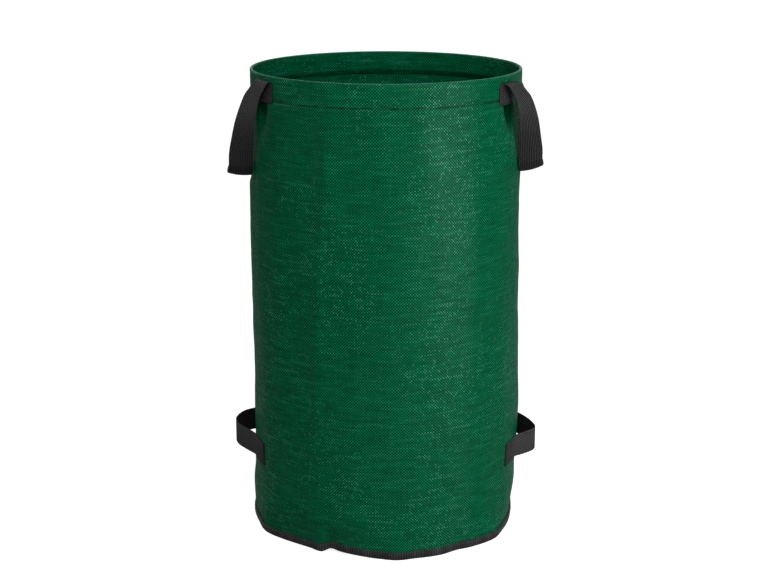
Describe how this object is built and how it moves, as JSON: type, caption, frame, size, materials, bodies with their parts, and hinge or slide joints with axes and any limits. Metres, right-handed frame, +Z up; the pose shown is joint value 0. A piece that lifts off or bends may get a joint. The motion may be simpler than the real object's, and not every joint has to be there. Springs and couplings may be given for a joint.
{
  "type": "garden waste bag",
  "caption": "Round self-standing garden waste bag of woven cloth with a hooped rim, hanging lifting handles and short tipping handles near the base.",
  "frame": {"origin": "centre of the base, on the floor that the bag stands on", "axes": "+Z up through the mouth; the handles are at the left (-X) and right (+X); the back seam is towards +Y"},
  "size_m": [0.538, 0.454, 0.78],
  "materials": {
    "woven_green": "coated woven polypropylene, satin",
    "webbing_black": "woven webbing, matte",
    "binding_black": "ribbed tape, matte",
    "hoop_plastic": "satin"
  },
  "bodies": {
    "root": {"wall_panel": "woven_green", "base_disc": "woven_green", "base_binding": "binding_black"},
    "rim": {"rim_hoop": "hoop_plastic", "hoop_joiner": "hoop_plastic", "upper_left_front_end": "webbing_black", "upper_left_rear_end": "webbing_black", "upper_left_front_bend": "webbing_black", "upper_left_rear_bend": "webbing_black", "upper_right_front_end": "webbing_black", "upper_right_rear_end": "webbing_black", "upper_right_front_bend": "webbing_black", "upper_right_rear_bend": "webbing_black"},
    "upper_left_handle": {"upper_left_loop": "webbing_black"},
    "upper_right_handle": {"upper_right_loop": "webbing_black"},
    "lower_left_seat": {"lower_left_front_end": "webbing_black", "lower_left_rear_end": "webbing_black", "lower_left_front_bend": "webbing_black", "lower_left_rear_bend": "webbing_black"},
    "lower_right_seat": {"lower_right_front_end": "webbing_black", "lower_right_rear_end": "webbing_black", "lower_right_front_bend": "webbing_black", "lower_right_rear_bend": "webbing_black"},
    "lower_left_handle": {"lower_left_loop": "webbing_black"},
    "lower_right_handle": {"lower_right_loop": "webbing_black"}
  },
  "joints": [
    {"name": "rim_lower", "type": "slide", "parent": "root", "child": "rim", "axis": [0, 0, -1], "range_m": [0, 0.48], "deforming": ["wall_panel"]},
    {"name": "upper_left_swing", "type": "hinge", "parent": "rim", "child": "upper_left_handle", "pos_m": [-0.19314, 0, 0.774], "axis": [0, 1, 0], "range_deg": [0, 165], "deforming": ["upper_left_front_bend", "upper_left_rear_bend"]},
    {"name": "upper_right_swing", "type": "hinge", "parent": "rim", "child": "upper_right_handle", "pos_m": [0.19314, 0, 0.774], "axis": [0, -1, 0], "range_deg": [0, 165], "deforming": ["upper_right_front_bend", "upper_right_rear_bend"]},
    {"name": "lower_left_sink", "type": "slide", "parent": "root", "child": "lower_left_seat", "axis": [0, 0, -1], "range_m": [0, 0.087]},
    {"name": "lower_right_sink", "type": "slide", "parent": "root", "child": "lower_right_seat", "axis": [0, 0, -1], "range_m": [0, 0.087]},
    {"name": "lower_left_swing", "type": "hinge", "parent": "lower_left_seat", "child": "lower_left_handle", "pos_m": [-0.21862, 0.02105, 0.134], "axis": [0.0958, 0.9954, 0], "range_deg": [-30, 30], "stiffness_Nm_per_rad": 0.02, "deforming": ["lower_left_front_bend", "lower_left_rear_bend"]},
    {"name": "lower_right_swing", "type": "hinge", "parent": "lower_right_seat", "child": "lower_right_handle", "pos_m": [0.21862, 0.02105, 0.134], "axis": [0.0958, -0.9954, 0], "range_deg": [-30, 30], "stiffness_Nm_per_rad": 0.02, "deforming": ["lower_right_front_bend", "lower_right_rear_bend"]}
  ],
  "couplings": [
    {"joint": "lower_left_sink", "follows": "rim_lower", "ratio": 0.18108},
    {"joint": "lower_right_sink", "follows": "rim_lower", "ratio": 0.18108}
  ]
}
